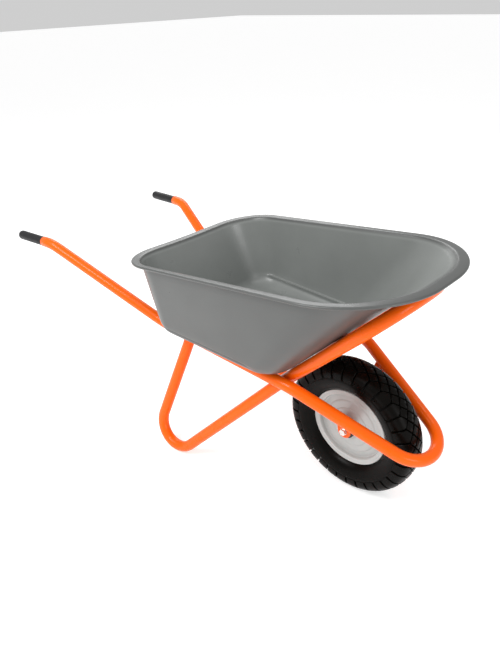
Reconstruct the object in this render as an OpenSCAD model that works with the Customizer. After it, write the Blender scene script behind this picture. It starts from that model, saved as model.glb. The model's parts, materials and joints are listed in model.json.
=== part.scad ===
// Single-wheel builder's wheelbarrow: a bent tube frame around the wheel, a
// second bent tube for the legs and the front rest, a pressed steel tray, and
// a pneumatic wheel on ball bearings.
// Frame: +X points forward, +Y to the left, +Z up. The origin lies on the
// ground straight below the wheel axle.

/* [Tubes] */
// Outer diameter of both frame tubes
tube_d = 33; // [28:0.5:38]
// Wall of both frame tubes
tube_wall = 1.5; // [1.2:0.1:3]
// Half distance between the tray rails at their rear end
rail_rear_y = 160; // [130:1:175]
// Half distance between the tray rails at their front end
rail_front_y = 164; // [130:1:175]
// Height of the tray rails' centreline
rail_z = 369; // [340:1:420]
// Where the rails start below the rear of the tray
rail_rear_x = -602; // [-660:1:-560]
// Where the rails bend down to the nose
rail_front_x = -86; // [-110:1:-60]
// Bend radius at both ends of the rails
rail_bend_r = 130; // [80:1:200]
// Height of the handle tubes where they turn level
handle_z = 561; // [500:1:700]
// Rise of the handle end below its level turn, down when negative
handle_end_rise = -8; // [-40:1:60]
// Half distance between the handles where they turn level
handle_turn_y = 273; // [230:1:320]
// Half distance between the handle ends
handle_end_y = 285; // [230:1:340]
// Where the handles turn level
handle_turn_x = -1002; // [-1100:1:-900]
// Where the handles end
handle_end_x = -1185; // [-1300:1:-1130]
// Bend radius at the handles' level turn
handle_bend_r = 110; // [80:1:140]
// How far ahead of the axle the straight fork arms would meet
fork_point_x = 449; // [420:1:500]
// Height at which the straight fork arms would meet
fork_point_z = 135; // [110:1:160]
// Bend radius of the nose around the front of the wheel
nose_bend_r = 86; // [82:1:98]

/* [Legs] */
// Half distance between the feet at the ground
foot_y = 254; // [220:1:290]
// Where the front arm of a leg meets the ground
foot_x = -443; // [-480:1:-420]
// Where the rear arm of a leg joins the rail
leg_top_x = -476; // [-500:1:-450]
// Tightness of the foot, the bend radius of the tube
foot_bend_r = 70; // [60:1:80]
// Where the leg tube passes inside the rail
crossing_x = -140; // [-155:1:-130]
// How far below the rails the leg tube turns up under the tray front
crossing_drop = 19; // [14:1:34]
// Bend radius of the leg tube at the crossing
crossing_bend_r = 180; // [120:1:240]
// How far forward the front rest reaches
rest_x = 165; // [140:1:175]
// Height of the front rest above the rails
rest_rise = 285; // [266:1:291]
// Gap left between parts that are welded or pressed together
seat_gap = 0.3; // [0.1:0.05:0.5]

/* [Tray] */
// Sheet thickness of the tray
sheet = 1.5; // [1.2:0.1:3]
// Rear end of the rim
rim_rear_x = -664; // [-700:1:-650]
// Front end of the rim
rim_front_x = 216; // [210:1:230]
// Half width of the rim at the rear
rim_rear_y = 274; // [262:1:300]
// Half width of the rim at the front
rim_front_y = 254; // [248:1:290]
// Height of the rim above the rails at the rear corners
rim_rear_rise = 229; // [191:1:271]
// Height of the rim above the rails at the front corners
rim_front_rise = 338; // [326:1:348]
// How much lower the rim is in the middle of its ends
rim_sag = 8; // [0:1:20]
// Width of the rim flange
flange_w = 23; // [14:1:30]
// Radius of the rolled edge of the rim
bead_r = 4; // [3:0.5:5]
// Corner radius of the rim at the rear
rim_rear_r = 138; // [100:1:150]
// Corner radius of the rim at the front
rim_front_r = 225; // [170:1:235]
// Corner radius of the tray wall under the rim at the rear
wall_rear_r = 120; // [90:1:140]
// Corner radius of the tray wall under the rim at the front
wall_front_r = 205; // [150:1:215]
// Rear end of the floor, where wall and floor would meet sharply
floor_rear_x = -548; // [-565:1:-525]
// Half width of the floor at the rear, measured the same way
floor_rear_y = 234; // [215:1:245]
// Half width of the floor at the front, measured the same way
floor_front_y = 216; // [190:1:225]
// Corner radius of the floor at the rear
floor_rear_r = 60; // [50:1:90]
// Corner radius of the floor at the front
floor_front_r = 72; // [60:1:110]
// Fillet between the floor and the side and rear walls
side_fillet_r = 48; // [30:1:60]
// Fillet between the floor and the sloping front
front_fillet_r = 85; // [60:1:140]

/* [Tray fixing] */
// Thread diameter of the tray bolts
tray_bolt_d = 8; // [6:1:10]
// Where the rear crossbar lies
rear_bar_x = -455; // [-480:1:-430]
// Where the front crossbar lies
front_bar_x = -235; // [-260:1:-215]
// Where the strap of the front rest lies
strap_x = 30; // [0:1:50]
// Width of the crossbars and the strap
bar_w = 40; // [30:1:50]
// Thickness of the crossbars and the strap
bar_t = 5; // [4:0.5:8]
// Half distance between the bolts of a crossbar
bar_bolt_y = 95; // [70:1:110]
// Half distance between the bolts of the front strap
strap_bolt_y = 70; // [50:1:85]
// Radial clearance of the tray bolts in their holes
bolt_clear = 0.4; // [0.2:0.1:0.8]

/* [Grips] */
// Outer diameter of a handle grip
grip_d = 30; // [28:0.5:33]
// Length of a handle grip
grip_l = 138; // [100:1:150]
// Diameter of the necked handle end inside a grip
neck_d = 25; // [22:0.5:27]

/* [Wheel] */
// Outer diameter of the tyre
tyre_d = 400; // [380:2:404]
// Width of the tyre
tyre_w = 90; // [84:1:96]
// Thickness of the tyre's tread
tread_t = 12; // [9:0.5:15]
// Thickness of the tyre's sidewall
sidewall_t = 5; // [4:0.5:7]
// Diameter of the bead seat of the rim
bead_seat_d = 203; // [200:1:206]
// Outer diameter of the rim flange
rim_d = 232; // [226:1:238]
// Width of the rim over its flanges
rim_w = 48; // [44:1:56]
// Sheet thickness of the rim
rim_sheet = 1.8; // [1.5:0.1:2.5]
// How far the middle of a rim disc stands out from the wheel's middle plane
dome_y = 26; // [20:1:28]
// Thickness of the band over the rim joint
rim_tape_t = 0.9; // [0.6:0.1:1.5]
// Thickness of the inner tube's wall
tube_skin = 1.6; // [1.2:0.1:2.5]
// Diameter of the valve stem
valve_d = 8; // [7:0.5:9]
// Length of the valve stem
valve_l = 30; // [24:1:34]

/* [Hub] */
// Diameter of the axle bolt
axle_d = 10; // [9:0.5:11]
// Outer diameter of a wheel bearing
bearing_d = 30; // [29:0.5:32]
// Width of a wheel bearing
bearing_w = 9; // [8:0.5:10]
// Diameter of a bearing ball
ball_d = 4.8; // [4.4:0.1:5]
// Number of balls in a bearing
ball_n = 8; // [6:1:9]
// Half distance between the outer faces of the bearings
bearing_face_y = 36; // [32:1:37]
// Outer diameter of the hub barrel
hub_barrel_d = 50; // [44:1:56]
// Radial running clearance between the bearing parts
run_clear = 0.05; // [0.03:0.01:0.1]

/* [Axle brackets] */
// Thickness of the bracket plate
plate_t = 5; // [4:0.5:6]
// Half distance between the inner faces of the brackets at the axle
plate_y = 40; // [38:1:48]
// Width of a bracket at the tube
plate_w = 50; // [40:1:60]
// Radius of the rounded bracket end
plate_end_r = 20; // [16:1:24]
// Height of a bracket's upright part above the axle
plate_rise = 34; // [26:1:44]
// Thickness of the washers on the axle
washer_t = 2; // [1.5:0.5:3]
// Radial clearance of the axle bolt in the brackets and washers
axle_hole_clear = 0.3; // [0.2:0.05:0.6]

/* [Hidden] */
$fn = 64;

tube_r = tube_d / 2;
axle_z = tyre_d / 2;
// What the rails carry rises and falls with them
crossing_z = rail_z - crossing_drop;
rest_z = rail_z + rest_rise;
rim_rear_z = rail_z + rim_rear_rise;
rim_front_z = rail_z + rim_front_rise;
SIDES = [-1, 1];

function flip(p) = [p.x, -p.y, p.z];
function unit(v) = v / norm(v);
function lerp(a, b, t) = a + (b - a) * t;
function reversed(list) = [for (i = [len(list) - 1 : -1 : 0]) list[i]];

// ---- Bent tubes -------------------------------------------------------
// A bent tube follows a list of corner points. Each corner has a bend radius.
// A station is a point on the centreline with the tube's direction there.

TUBE_SIDES = 24;
BEND_STEP = 12;

function turn_angle(a, b, c) = acos(unit(b - a) * unit(c - b));

// Stations along the bend of radius r at corner b, between a-b and b-c
function bend_stations(a, b, c, r) =
    let(
        u = unit(b - a),
        v = unit(c - b),
        angle = turn_angle(a, b, c),
        m = unit(v - (u * v) * u),
        o = b - u * r * tan(angle / 2) + m * r,
        steps = max(3, ceil(angle / BEND_STEP))
    )
    [for (i = [0 : steps])
        let(t = angle * i / steps)
        [o - m * r * cos(t) + u * r * sin(t), u * cos(t) + m * sin(t)]];

function inner_stations(path, radii) =
    [for (i = [1 : len(path) - 2])
        each bend_stations(path[i - 1], path[i], path[i + 1], radii[i])];

function first_dir(path) = unit(path[1] - path[0]);
function last_dir(path) = unit(path[len(path) - 1] - path[len(path) - 2]);

// Carries a side vector along the stations without twist
function side_vectors(stations, i, side) =
    i == len(stations) ? [] :
    let(
        t = stations[i][1],
        n = unit(side - (side * t) * t)
    )
    concat([n], side_vectors(stations, i + 1, n));

// Rings of points around the stations, one radius for each station
function tube_rings(stations, ring_r) =
    let(sides = side_vectors(stations, 0, [0, 0, 1]))
    [for (i = [0 : len(stations) - 1])
        let(b = cross(stations[i][1], sides[i]))
        [for (j = [0 : TUBE_SIDES - 1])
            let(a = 360 * j / TUBE_SIDES)
            stations[i][0] + ring_r[i] * (cos(a) * sides[i] + sin(a) * b)]];

// Side faces between closed ring k and closed ring l, n points each
function ring_faces(k, l, n) =
    [for (i = [0 : n - 1])
        each [
            [k * n + i, k * n + (i + 1) % n, l * n + i],
            [k * n + (i + 1) % n, l * n + (i + 1) % n, l * n + i]
        ]];

// Hollow tube between two lists of rings that end on the same end faces
module tube_shell(outer, inner) {
    rings = concat(outer, reversed(inner));
    n = len(rings);
    polyhedron(
        points = [for (r = rings) each r],
        faces = [for (k = [0 : n - 1]) each ring_faces(k, (k + 1) % n, TUBE_SIDES)]
    );
}

// Straight round piece from point a to point b
module rod(a, b, d) {
    v = b - a;
    translate(a)
        rotate([0, acos(v.z / norm(v)), atan2(v.y, v.x)])
            cylinder(h = norm(v), d = d);
}

// ---- Frame geometry ---------------------------------------------------

rail_rear = [rail_rear_x, rail_rear_y, rail_z];
rail_front = [rail_front_x, rail_front_y, rail_z];
handle_turn = [handle_turn_x, handle_turn_y, handle_z];
handle_end = [handle_end_x, handle_end_y, handle_z + handle_end_rise];
fork_point = [fork_point_x, 0, fork_point_z];
grip_dir = unit(handle_end - handle_turn);
grip_cap_t = 3;
neck_end = handle_end - grip_dir * grip_cap_t;
neck_start = handle_end - grip_dir * (grip_l - 1);

main_half = [neck_start, handle_turn, rail_rear, rail_front];
main_path = concat(main_half, [fork_point], reversed([for (p = main_half) flip(p)]));
main_radii = [0, handle_bend_r, rail_bend_r, rail_bend_r, nose_bend_r,
              rail_bend_r, rail_bend_r, handle_bend_r, 0];

// The leg tube lies against the inner side of the rail where they cross
crossing_y = rail_front_y - tube_d - seat_gap;
crossing = [crossing_x, crossing_y, crossing_z];
leg_top = [leg_top_x, rail_rear_y + 1, rail_z];
foot_z = tube_r;
// The two arms of a leg are straight and tangent to the foot bend. Their
// corner point lies below the ground, on the line of the front arm.
front_arm_dir = unit([foot_x, foot_y, foot_z] - crossing);
function arm_angle(drop) =
    let(p = crossing + front_arm_dir * drop)
    turn_angle(leg_top, p, crossing);
function foot_low(drop) =
    let(
        p = crossing + front_arm_dir * drop,
        u = unit(leg_top - p),
        v = unit(crossing - p),
        half = (180 - arm_angle(drop)) / 2,
        w = unit(u + v),
        o = p + w * foot_bend_r / sin(half),
        n = unit(cross(u, v))
    )
    o.z - foot_bend_r * sqrt(1 - n.z * n.z);
// Length of the front arm to the corner point that puts the foot on the ground
function find_drop(low, high, steps) =
    steps == 0 ? (low + high) / 2 :
    foot_low((low + high) / 2) > foot_z
        ? find_drop((low + high) / 2, high, steps - 1)
        : find_drop(low, (low + high) / 2, steps - 1);
foot_corner = crossing + front_arm_dir * find_drop(350, 1100, 30);

rest_corner = [rest_x, crossing_y, rest_z];
rest_bend_r = crossing_y - 8;
leg_half = [leg_top, foot_corner, crossing, rest_corner];
leg_path = concat(leg_half, reversed([for (p = leg_half) flip(p)]));
leg_radii = [0, foot_bend_r, crossing_bend_r, rest_bend_r,
             rest_bend_r, crossing_bend_r, foot_bend_r, 0];

// ---- Tray geometry ----------------------------------------------------

floor_z = rail_z + tube_r + seat_gap;
// The sloping front lies on the front rest, parallel to its tubes
slope_angle = atan2(rest_z - crossing_z, rest_x - crossing_x);
slope_off = tube_r + seat_gap;
floor_front_x = crossing_x - slope_off / sin(slope_angle)
    + (floor_z - crossing_z) / tan(slope_angle);
function slope_x(z) = floor_front_x + (z - floor_z) / tan(slope_angle);

rim_rear_h = rim_rear_z - floor_z;
rim_front_h = rim_front_z - floor_z;
wall_rear_x = rim_rear_x + flange_w;
wall_rear_y = rim_rear_y - flange_w;
wall_front_y = rim_front_y - flange_w;
rear_angle = atan2(rim_rear_h, floor_rear_x - wall_rear_x);

// Outward run of a wall of slope angle a at height h over a floor fillet r
function wall_run(h, a, r) =
    h < r * (1 - cos(a)) ? sqrt(r * r - (r - h) * (r - h)) - r * tan(a / 2) : h / tan(a);

// Half outline with round corners, from the rear middle to the front middle.
// Each point is [x, y, share of the way from rear to front].
CORNER_STEPS = 8;
function half_outline(xr, xf, yr, yf, rr, rf) =
    let(
        lean = atan2(yr - yf, xf - xr),
        cy_r = (cos(lean) * yr - sin(lean) * rr - rr) / cos(lean),
        cy_f = (cos(lean) * yr + sin(lean) * (xr - xf + rf) - rf) / cos(lean),
        rear = [for (s = [0 : 3]) [xr, cy_r * s / 4]],
        corner_r = [for (i = [0 : CORNER_STEPS])
            let(a = lerp(180, 90 - lean, i / CORNER_STEPS))
            [xr + rr + rr * cos(a), cy_r + rr * sin(a)]],
        corner_f = [for (i = [0 : CORNER_STEPS])
            let(a = lerp(90 - lean, 0, i / CORNER_STEPS))
            [xf - rf + rf * cos(a), cy_f + rf * sin(a)]],
        front = [for (s = [3 : -1 : 0]) [xf, cy_f * s / 4]]
    )
    [for (p = concat(rear, corner_r, corner_f, front)) [p.x, p.y, (p.x - xr) / (xf - xr)]];

// Drop of the sagging ends at half width y of a tray that is yr wide there,
// and the shift along x that keeps a dropped point on its sloping wall
function sag_drop(y, yr) = rim_sag * (1 - pow(y / yr, 2));
function sag_shift(share) = lerp(1 / tan(rear_angle), -1 / tan(slope_angle), share);

// Full closed ring at level t of the wall, t = 0 on the floor and 1 at the
// rim, moved inwards by skin and raised by it at the floor
function wall_ring(t, skin) =
    let(
        hr = t * rim_rear_h,
        hf = t * rim_front_h,
        side_ar = atan2(rim_rear_h, wall_rear_y - floor_rear_y),
        side_af = atan2(rim_front_h, wall_front_y - floor_front_y),
        r = side_fillet_r - skin,
        run_side_r = wall_run(hr, side_ar, r),
        run_side_f = wall_run(hf, side_af, r),
        inset = max(0, -run_side_r),
        xr = floor_rear_x - wall_run(hr, rear_angle, r) + skin,
        xf = floor_front_x + wall_run(hf, slope_angle, front_fillet_r - skin) - skin,
        yr = floor_rear_y + run_side_r - skin,
        yf = floor_front_y + run_side_f - skin,
        rr = lerp(floor_rear_r, wall_rear_r, t) - inset / 2 - skin,
        rf = lerp(floor_front_r, wall_front_r, t) - inset / 2 - skin,
        half = half_outline(xr, xf, yr, yf, rr, rf)
    )
    whole_ring([for (p = half)
        let(drop = t * t * sag_drop(p.y, yr))
        [p.x + drop * sag_shift(p.z), p.y,
            floor_z + lerp(hr, hf, p.z) + skin * (1 - t) - drop]]);

// Ring of the flange, out by a share of its width and raised by dz
function flange_ring(out, dz) =
    let(
        share = out / flange_w,
        half = half_outline(
            wall_rear_x - out,
            lerp(slope_x(rim_front_z), rim_front_x, share),
            wall_rear_y + out,
            wall_front_y + out,
            lerp(wall_rear_r, rim_rear_r, share),
            lerp(wall_front_r, rim_front_r, share))
    )
    whole_ring([for (p = half)
        let(drop = sag_drop(p.y, rim_rear_y))
        [p.x + (1 - share) * drop * sag_shift(p.z), p.y,
            lerp(rim_rear_z, rim_front_z, p.z) + dz - drop]]);

// Adds the mirrored right half to a left half outline
function whole_ring(half) =
    concat(half, [for (i = [len(half) - 2 : -1 : 1]) flip(half[i])]);

WALL_LEVELS = [0, 0.012, 0.045, 0.1, 0.17, 0.26, 0.5, 0.75, 0.97];
function bead_rings() =
    [for (a = [-90 : 45 : 90])
        flange_ring(flange_w - bead_r + bead_r * cos(a), bead_r * sin(a) - bead_r)];
tray_rings = concat(
    [for (t = WALL_LEVELS) wall_ring(t, 0)],
    [flange_ring(3, -sheet)],
    [flange_ring(flange_w - bead_r - sheet, -sheet)],
    bead_rings(),
    [flange_ring(0, 0)],
    [for (i = [len(WALL_LEVELS) - 1 : -1 : 0]) wall_ring(WALL_LEVELS[i], sheet)]
);

// ---- Wheel geometry ---------------------------------------------------

seat_r = bead_seat_d / 2;
rim_r = rim_d / 2;
rim_half = rim_w / 2;
hole_r = hub_barrel_d / 2 + seat_gap;
disc_root_y = 8;
hub_collar_r = hole_r + 9;
hub_collar_t = 5;
rim_tape_w = 6;
valve_angle = 60;
valve_tilt = 38;
valve_y = 6.5;
ball_ring_r = (axle_d + bearing_d) / 4;
race_t = (bearing_d - axle_d) / 2 * 0.3;
bearing_mid_y = bearing_face_y - bearing_w / 2;
head_h = 6.4;
head_d = 17 / cos(30);
nut_h = 8;
bolt_hole_r = tray_bolt_d / 2 + bolt_clear;
bolt_head_r = 9;
bolt_head_h = 3;
bolt_l = 24;
tray_washer_t = 1.6;
tray_washer_r = 8;
tray_nut_h = 6.5;
tray_nut_d = 13 / cos(30);
strap_z = crossing_z + (strap_x - crossing_x) * tan(slope_angle);

// Places children on the wheel's axis, their Z along +Y
module on_axle(y = 0) {
    translate([0, y, axle_z])
        rotate([-90, 0, 0])
            children();
}

module ring(r_in, r_out, h) {
    difference() {
        cylinder(h = h, r = r_out);
        translate([0, 0, -1])
            cylinder(h = h + 2, r = r_in);
    }
}

module hex_nut(d, h, bore) {
    difference() {
        cylinder(h = h, d = d, $fn = 6);
        translate([0, 0, -1])
            cylinder(h = h + 2, r = bore);
    }
}

// Places children at each tray bolt, Z out of the tray's upper face and the
// origin on the lower face of the sheet
module at_tray_bolts() {
    for (x = [rear_bar_x, front_bar_x], s = SIDES)
        translate([x, s * bar_bolt_y, floor_z])
            children();
    for (s = SIDES)
        translate([strap_x, s * strap_bolt_y, strap_z])
            rotate([0, -slope_angle, 0])
                translate([0, 0, slope_off])
                    children();
}

// ---- Frame parts ------------------------------------------------------

// One end of the main tube: the necked handle end, then the step to full size
function neck_stations(step) =
    [[neck_end, -grip_dir], [neck_start - grip_dir * step, -grip_dir],
     [neck_start - grip_dir * step, -grip_dir]];
function neck_radii(skin) = [neck_d / 2 - skin, neck_d / 2 - skin, tube_r - skin];
function flip_station(s) = [flip(s[0]), -flip(s[1])];

function main_rings(skin, step) =
    let(
        neck = neck_stations(step),
        middle = inner_stations(main_path, main_radii),
        stations = concat(neck, middle, reversed([for (s = neck) flip_station(s)])),
        ring_r = concat(
            neck_radii(skin),
            [for (s = middle) tube_r - skin],
            reversed(neck_radii(skin)))
    )
    tube_rings(stations, ring_r);

module main_tube() {
    color("orangered")
        tube_shell(main_rings(0, 0), main_rings(tube_wall, 2 * tube_wall));
}

// Clearance shape of both tray rails
module rail_clearance() {
    for (s = SIDES)
        mirror([0, s < 0 ? 1 : 0, 0])
            rod(rail_rear, rail_front, tube_d + 2 * seat_gap);
}

function leg_rings(skin) =
    let(
        stations = concat(
            [[leg_top, first_dir(leg_path)]],
            inner_stations(leg_path, leg_radii),
            [[flip(leg_top), last_dir(leg_path)]])
    )
    tube_rings(stations, [for (s = stations) tube_r - skin]);

module leg_tube() {
    color("orangered")
        difference() {
            tube_shell(leg_rings(0), leg_rings(tube_wall));
            rail_clearance();
        }
}

// Flat bar welded between the rails at x, with two bolt holes
module crossbar(x) {
    color("orangered")
        difference() {
            translate([x - bar_w / 2, -rail_rear_y, floor_z - seat_gap - bar_t])
                cube([bar_w, 2 * rail_rear_y, bar_t]);
            rail_clearance();
            for (s = SIDES)
                translate([x, s * bar_bolt_y, floor_z - 20])
                    cylinder(h = 40, r = bolt_hole_r);
        }
}

module rear_crossbar() {
    crossbar(rear_bar_x);
}

module front_crossbar() {
    crossbar(front_bar_x);
}

// Flat strap welded between the two arms of the front rest
module front_strap() {
    color("orangered")
        translate([strap_x, 0, strap_z])
            rotate([0, -slope_angle, 0])
                difference() {
                    translate([-bar_w / 2, -crossing_y, slope_off - seat_gap - bar_t])
                        cube([bar_w, 2 * crossing_y, bar_t]);
                    for (s = SIDES) {
                        translate([-bar_w, s * crossing_y, 0])
                            rotate([0, 90, 0])
                                cylinder(h = 2 * bar_w, r = tube_r + seat_gap);
                        translate([0, s * strap_bolt_y, 0])
                            cylinder(h = 40, r = bolt_hole_r);
                    }
                }
}

module grip() {
    outer = neck_end - grip_dir * (grip_l - grip_cap_t - 1);
    color("black")
        difference() {
            union() {
                rod(outer, handle_end - grip_dir * 2, grip_d);
                rod(handle_end - grip_dir * 2.01, handle_end, grip_d - 4);
            }
            rod(outer - grip_dir, neck_end + grip_dir * 0.2, neck_d + 0.2);
        }
}

module grip_left() {
    grip();
}

module grip_right() {
    mirror([0, 1, 0])
        grip();
}

// Bent plate from the fork arm down to the axle
module bracket() {
    share = -rail_front_x / (fork_point_x - rail_front_x);
    fork_y = lerp(rail_front_y, 0, share);
    fork_z = lerp(rail_z, fork_point_z, share);
    knee_z = axle_z + plate_rise;
    color("orangered")
        difference() {
            intersection() {
                translate([-plate_w, 0, 0])
                    rotate([90, 0, 90])
                        linear_extrude(2 * plate_w)
                            polygon([
                                [plate_y, axle_z - 2 * plate_end_r],
                                [plate_y + plate_t, axle_z - 2 * plate_end_r],
                                [plate_y + plate_t, knee_z],
                                [fork_y + plate_t, fork_z],
                                [fork_y - 2, fork_z],
                                [plate_y, knee_z + plate_t / 2]
                            ]);
                translate([0, 2 * fork_y, axle_z])
                    rotate([90, 0, 0])
                        linear_extrude(2 * fork_y) {
                            circle(r = plate_end_r);
                            polygon([
                                [-plate_end_r, 0],
                                [plate_end_r, 0],
                                [plate_w / 2, plate_rise],
                                [plate_w / 2, fork_z],
                                [-plate_w / 2, fork_z],
                                [-plate_w / 2, plate_rise]
                            ]);
                        }
            }
            rod(rail_front, fork_point, tube_d + 2 * seat_gap);
            on_axle()
                cylinder(h = 2 * fork_y, r = axle_d / 2 + axle_hole_clear);
        }
}

module bracket_left() {
    bracket();
}

module bracket_right() {
    mirror([0, 1, 0])
        bracket();
}

// ---- Axle and bearings ------------------------------------------------

axle_stack_y = plate_y + plate_t;

module axle_bolt() {
    color("silver") {
        on_axle(-axle_stack_y - washer_t - head_h)
            cylinder(h = head_h, d = head_d, $fn = 6);
        on_axle(-axle_stack_y - washer_t)
            cylinder(h = 2 * (axle_stack_y + washer_t) + nut_h + 4, d = axle_d);
    }
}

module axle_nut() {
    color("silver")
        on_axle(axle_stack_y + washer_t)
            hex_nut(head_d, nut_h, axle_d / 2);
}

module axle_washers() {
    color("silver") {
        on_axle(axle_stack_y)
            ring(axle_d / 2 + axle_hole_clear, axle_d, washer_t);
        on_axle(-axle_stack_y - washer_t)
            ring(axle_d / 2 + axle_hole_clear, axle_d, washer_t);
    }
}

module outer_spacer() {
    color("silver")
        on_axle(bearing_face_y)
            ring(axle_d / 2 + 0.1, axle_d / 2 + race_t * 0.9, plate_y - bearing_face_y);
}

module outer_spacer_left() {
    outer_spacer();
}

module outer_spacer_right() {
    mirror([0, 1, 0])
        outer_spacer();
}

module inner_spacer() {
    half = bearing_face_y - bearing_w;
    color("silver")
        on_axle(-half)
            ring(axle_d / 2 + 0.1, axle_d / 2 + race_t * 0.9, 2 * half);
}

// Bearing race between two radii, with the ball groove
module race(r_in, r_out) {
    color("gainsboro")
        on_axle(bearing_mid_y)
            rotate_extrude()
                difference() {
                    translate([r_in, -bearing_w / 2])
                        square([r_out - r_in, bearing_w]);
                    translate([ball_ring_r, 0])
                        circle(d = ball_d + 2 * run_clear);
                }
}

module inner_race() {
    race(axle_d / 2 + run_clear, axle_d / 2 + race_t);
}

module outer_race() {
    race(bearing_d / 2 - race_t, bearing_d / 2);
}

module balls() {
    color("silver")
        on_axle(bearing_mid_y)
            for (i = [0 : ball_n - 1])
                rotate([0, 0, i * 360 / ball_n])
                    translate([ball_ring_r, 0, 0])
                        sphere(d = ball_d);
}

module bearing_seal() {
    color("dimgray")
        on_axle(bearing_face_y - 1.2)
            ring(axle_d / 2 + race_t + 0.1, bearing_d / 2 - race_t - 0.02, 1);
}

module inner_race_left() {
    inner_race();
}

module inner_race_right() {
    mirror([0, 1, 0])
        inner_race();
}

module outer_race_left() {
    outer_race();
}

module outer_race_right() {
    mirror([0, 1, 0])
        outer_race();
}

module balls_left() {
    balls();
}

module balls_right() {
    mirror([0, 1, 0])
        balls();
}

module bearing_seal_left() {
    bearing_seal();
}

module bearing_seal_right() {
    mirror([0, 1, 0])
        bearing_seal();
}

// ---- Wheel ------------------------------------------------------------

// Hub barrel with a collar behind each rim disc and a bearing seat at each end
module hub() {
    seat = bearing_d / 2;
    barrel_r = hub_barrel_d / 2;
    bore_r = axle_d / 2 + race_t + 1;
    shoulder = bearing_face_y - bearing_w;
    disc_in = dome_y - rim_sheet - seat_gap;
    half = [
        [bore_r, shoulder],
        [seat, shoulder],
        [seat, bearing_face_y],
        [barrel_r, bearing_face_y],
        [barrel_r, disc_in],
        [hub_collar_r, disc_in],
        [hub_collar_r, disc_in - hub_collar_t],
        [barrel_r, disc_in - hub_collar_t]
    ];
    color("black")
        on_axle(0)
            rotate_extrude()
                polygon(concat(half, reversed([for (p = half) [p.x, -p.y]])));
}

// Outer side of one pressed rim half, from the hub hole to the flange edge
rim_line = [
    [hole_r, dome_y],
    [hole_r + 10, dome_y],
    [hole_r + 32, dome_y - 6],
    [hole_r + 35, dome_y - 8],
    [hole_r + 53, dome_y - 12],
    [hole_r + 56, dome_y - 14],
    [seat_r - rim_sheet - 2, disc_root_y + 0.5],
    [seat_r - rim_sheet, disc_root_y + 2.5],
    [seat_r - rim_sheet, rim_half - 3],
    [seat_r + 1, rim_half],
    [rim_r, rim_half]
];
rim_back = [
    [rim_r, rim_half - rim_sheet],
    [seat_r + 2, rim_half - rim_sheet],
    [seat_r, rim_half - rim_sheet - 2],
    [seat_r, seat_gap / 2],
    [seat_r - rim_sheet, seat_gap / 2],
    [seat_r - rim_sheet, disc_root_y - rim_sheet],
    [hole_r + 55, dome_y - 14 - rim_sheet],
    [hole_r + 52, dome_y - 12 - rim_sheet],
    [hole_r + 34, dome_y - 8 - rim_sheet],
    [hole_r + 31, dome_y - 6 - rim_sheet],
    [hole_r + 9, dome_y - rim_sheet],
    [hole_r, dome_y - rim_sheet]
];

module rim_half() {
    color("silver")
        on_axle(0)
            rotate_extrude()
                polygon(concat(rim_line, rim_back));
}

// Places children on the valve's axis, their Z from the tyre towards the hub
module on_valve() {
    on_axle(valve_y)
        rotate([0, 0, valve_angle])
            translate([seat_r + 1, 0, 0])
                rotate([0, -90 + valve_tilt, 0])
                    children();
}

module rim_half_left() {
    color("silver")
        difference() {
            rim_half();
            on_valve()
                translate([0, 0, -4])
                    cylinder(h = valve_l, r = valve_d / 2 + 0.4);
        }
}

module rim_half_right() {
    mirror([0, 1, 0])
        rim_half();
}

// Band over the joint of the rim halves
module rim_tape() {
    color("dimgray")
        on_axle(-rim_tape_w / 2)
            ring(seat_r + 0.1, seat_r + 0.1 + rim_tape_t, rim_tape_w);
}

// Half outline of the tyre's outer side, from the bead to the tread middle
tyre_r = tyre_d / 2;
tyre_half = tyre_w / 2;
tyre_out = [
    [seat_r + seat_gap, rim_half - rim_sheet - 2 - seat_gap],
    [seat_r + 3, rim_half - rim_sheet - seat_gap],
    [rim_r + seat_gap, rim_half - rim_sheet - seat_gap],
    [rim_r + 2, rim_half + 1],
    [rim_r + 12, tyre_half - 8],
    [rim_r + 28, tyre_half - 2],
    [rim_r + 44, tyre_half],
    [rim_r + 58, tyre_half - 1],
    [tyre_r - 15, tyre_half - 3],
    [tyre_r - 6, tyre_half - 10],
    [tyre_r - 2, tyre_half - 22],
    [tyre_r, tyre_half - 34]
];
tyre_in = [
    [tyre_r - tread_t, tyre_half - 34],
    [tyre_r - tread_t - 2, tyre_half - 22],
    [tyre_r - tread_t - 6, tyre_half - 12],
    [rim_r + 55, tyre_half - 2 - sidewall_t],
    [rim_r + 40, tyre_half - sidewall_t],
    [rim_r + 26, tyre_half - 3 - sidewall_t],
    [rim_r + 10, tyre_half - 11 - sidewall_t],
    [rim_r - 2, rim_half - 6 - sidewall_t],
    [seat_r + seat_gap, rim_half - 7 - sidewall_t]
];

// Full outline of a ring whose half outlines run from the hub to the middle
// (outer) and from the middle back to the hub (inner)
function mirrored_outline(outer, inner) =
    concat(
        outer,
        reversed([for (p = outer) [p.x, -p.y]]),
        reversed([for (p = inner) [p.x, -p.y]]),
        inner
    );

module tyre() {
    color("black")
        on_axle()
            rotate_extrude()
                polygon(mirrored_outline(tyre_out, tyre_in));
}

// The inner tube fills the tyre and rests on the rim tape
tube_mid = [rim_r + 24, 0];
tube_out = concat(
    [[seat_r + rim_tape_t + 2 * seat_gap, rim_half - 8 - sidewall_t]],
    [for (i = [len(tyre_in) - 2 : -1 : 0]) tyre_in[i] + unit(tube_mid - tyre_in[i]) * 1]
);
tube_in = [for (p = reversed(tube_out)) p + unit(tube_mid - p) * tube_skin];

module inner_tube() {
    color("dimgray")
        on_axle()
            rotate_extrude()
                polygon(mirrored_outline(tube_out, tube_in));
}

module valve_stem() {
    color("dimgray")
        on_valve()
            translate([0, 0, -1])
                cylinder(h = valve_l + 1, d = valve_d);
}

module valve_cap() {
    color("black")
        on_valve()
            translate([0, 0, valve_l + seat_gap / 3])
                cylinder(h = valve_d, d = valve_d + 1);
}

// ---- Tray and its bolts -----------------------------------------------

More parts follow.
